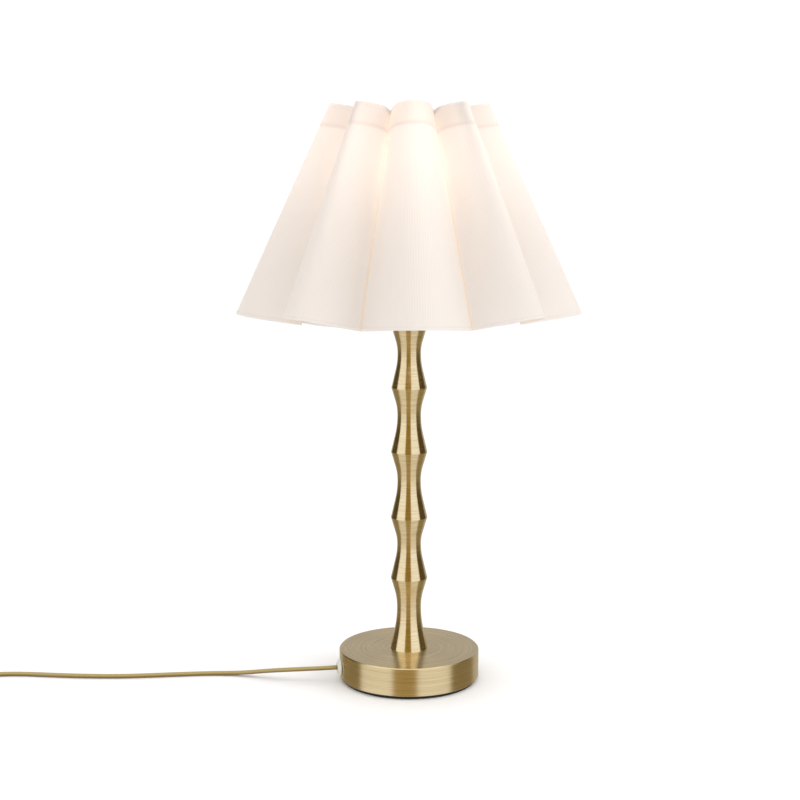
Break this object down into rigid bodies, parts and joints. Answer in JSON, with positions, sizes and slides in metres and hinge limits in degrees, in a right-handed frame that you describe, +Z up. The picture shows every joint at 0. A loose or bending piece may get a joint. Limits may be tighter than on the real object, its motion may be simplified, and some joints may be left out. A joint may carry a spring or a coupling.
{
  "type": "table lamp",
  "caption": "Table lamp: weighted brass disc base, waisted bamboo-like brass column, fluted translucent shade, flat cord with inline rocker switch and plug.",
  "frame": {"origin": "middle of the base's underside, on the table", "axes": "+Z up along the column, -Y towards the viewer, +X to the viewer's right; the cord leaves towards -X"},
  "size_m": [0.6317, 0.3105, 0.5092],
  "materials": {
    "brushed_brass": "brushed, antique",
    "turned_brass": "turned and polished, antique",
    "pad": "matte foam",
    "iron": "as cast",
    "zinc": "zinc plated",
    "grommet": "translucent",
    "gold_cord": "gold-tinted transparent",
    "gold_plastic": "gold-tinted",
    "holder_plastic": "satin",
    "porcelain": "glazed",
    "contact_brass": "stamped",
    "copper": "bare strand",
    "bulb_metal": "rolled",
    "bulb_plastic": "satin",
    "board": "white solder mask",
    "opal": "opal",
    "shade_fabric": "ribbed, laminated on clear film",
    "white_wire": "satin white",
    "nickel": "nickel plated",
    "collar": "moulded"
  },
  "bodies": {
    "lamp": {"base_pad": "pad", "base_cover": "brushed_brass", "base_weight": "iron", "base_washer": "zinc", "base_nut": "zinc", "threaded_tube": "zinc", "cord_grommet": "grommet", "cord_clamp": "holder_plastic", "clamp_screws": "zinc", "cord_inner": "gold_cord", "column_spool_1": "turned_brass", "column_spool_2": "turned_brass", "column_spool_3": "turned_brass", "column_spool_4": "turned_brass", "column_spool_5": "turned_brass", "holder_cap": "holder_plastic", "holder_insert": "porcelain", "terminal_screws": "contact_brass", "holder_wires": "copper", "holder_sleeve": "holder_plastic", "contact_shell": "contact_brass", "centre_contact": "contact_brass", "shade_ring": "holder_plastic", "cord_to_switch": "gold_cord", "cord_to_coil": "gold_cord", "cord_to_plug": "gold_cord", "cord_coil": "gold_cord", "switch_base": "gold_plastic", "switch_cover": "gold_plastic", "switch_terminals": "contact_brass", "switch_screws": "zinc", "plug_body": "gold_plastic", "plug_pins": "nickel", "plug_pin_collars": "collar"},
    "shade": {"shade_sheet": "shade_fabric", "shade_top_band": "shade_fabric", "shade_fitter": "white_wire", "shade_legs": "white_wire", "shade_top_ring": "white_wire", "shade_bottom_ring": "white_wire"},
    "bulb": {"bulb_cap": "bulb_metal", "bulb_contact": "contact_brass", "bulb_housing": "bulb_plastic", "led_board": "board", "bulb_globe": "opal"},
    "rocker": {"switch_rocker": "gold_plastic", "switch_plunger": "contact_brass"}
  },
  "joints": [
    {"name": "shade_swivel", "type": "hinge", "parent": "lamp", "child": "shade", "pos_m": [0, 0, 0.35], "axis": [0, 0, 1], "continuous": true},
    {"name": "bulb_lift", "type": "slide", "parent": "lamp", "child": "bulb", "axis": [0, 0, 1], "range_m": [0, 0.03]},
    {"name": "rocker_tilt", "type": "hinge", "parent": "lamp", "child": "rocker", "pos_m": [-0.407, -0.08, 0.013], "axis": [1, 0, 0], "range_deg": [-16, 0]}
  ]
}
